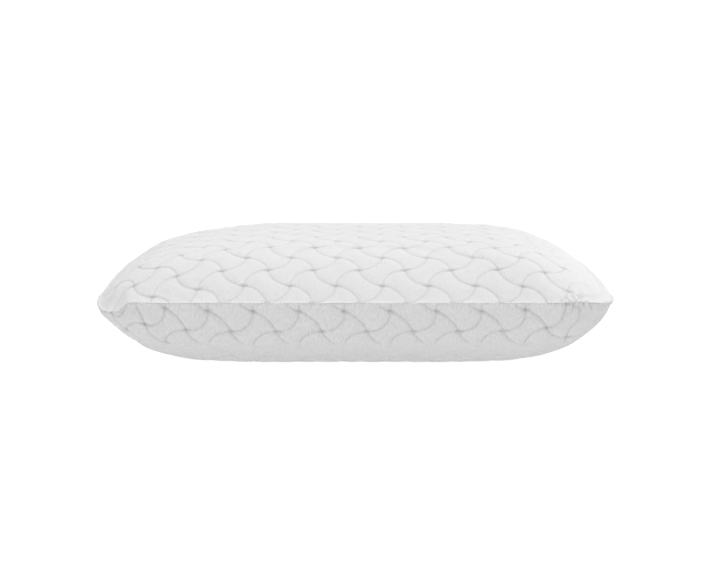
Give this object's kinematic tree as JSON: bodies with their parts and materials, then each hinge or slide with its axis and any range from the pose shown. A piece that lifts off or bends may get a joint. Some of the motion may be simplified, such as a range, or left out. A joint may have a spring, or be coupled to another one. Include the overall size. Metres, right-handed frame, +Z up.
{
  "type": "bed pillow",
  "caption": "Low foam bed pillow in a white quilted knit cover with a sewn mid-height edge and a zip along the rear long side.",
  "frame": {"origin": "centre of the footprint, on the surface the pillow rests on", "axes": "+Z up, X along the long sides, +Y towards the zip side"},
  "size_m": [0.61, 0.4203, 0.1475],
  "materials": {
    "cover_knit": "quilted white knit, matt",
    "liner_jersey": "plain white jersey",
    "foam": "open-cell foam with moulded skin",
    "thread": "spun polyester thread",
    "zip_tape": "woven tape",
    "zip_coil": "nylon",
    "zip_metal": "white enamel on die-cast metal",
    "label_satin": "woven satin, blank"
  },
  "bodies": {
    "pillow": {"foam_core": "foam", "liner_top_panel": "liner_jersey", "liner_bottom_panel": "liner_jersey", "liner_seam_thread": "thread", "cover_top_panel": "cover_knit", "cover_bottom_panel": "cover_knit", "cover_seam_thread": "thread", "cover_overlock_thread": "thread", "zipper_tape_upper": "zip_tape", "zipper_tape_lower": "zip_tape", "zipper_coil_upper": "zip_coil", "zipper_coil_lower": "zip_coil", "zipper_top_stops": "zip_metal", "zipper_bottom_stop": "zip_metal", "zipper_stitches_upper": "thread", "zipper_stitches_lower": "thread", "care_label": "label_satin", "label_stitches": "thread"},
    "slider": {"zipper_slider": "zip_metal"},
    "pull": {"zipper_pull": "zip_metal"}
  },
  "joints": [
    {"name": "zip_slide", "type": "slide", "parent": "pillow", "child": "slider", "axis": [-1, 0, 0], "range_m": [0, 0.34]},
    {"name": "pull_swing", "type": "hinge", "parent": "slider", "child": "pull", "pos_m": [0.177, 0.20783, 0.0828], "axis": [0, 0, -1], "range_deg": [0, 150]}
  ]
}
